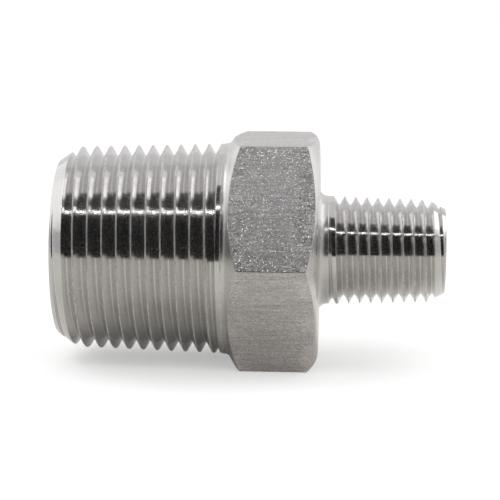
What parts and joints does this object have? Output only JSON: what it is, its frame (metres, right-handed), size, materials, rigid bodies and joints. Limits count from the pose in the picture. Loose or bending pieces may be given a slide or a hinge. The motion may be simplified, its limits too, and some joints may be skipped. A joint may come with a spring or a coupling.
{
  "type": "reducing hex nipple",
  "caption": "Reducing hex nipple: a stainless steel fitting with a hexagon between a large and a small male taper pipe thread, bored right through.",
  "frame": {"origin": "on the axis of the fitting, halfway between its two end faces", "axes": "+X along the axis towards the small thread, +Z square to a pair of wrench flats, +Y through a pair of hexagon corners"},
  "size_m": [0.0494, 0.033, 0.0286],
  "materials": {
    "turned_steel": "bright stainless steel, turned and threaded on a lathe, with fine rings around the axis",
    "bar_steel": "stainless hexagon bar, satin flats with fine grain along the axis and small bright scratches"
  },
  "bodies": {
    "root": {"large_threaded_end": "turned_steel", "wrench_hex": "bar_steel", "small_threaded_end": "turned_steel"}
  },
  "joints": []
}
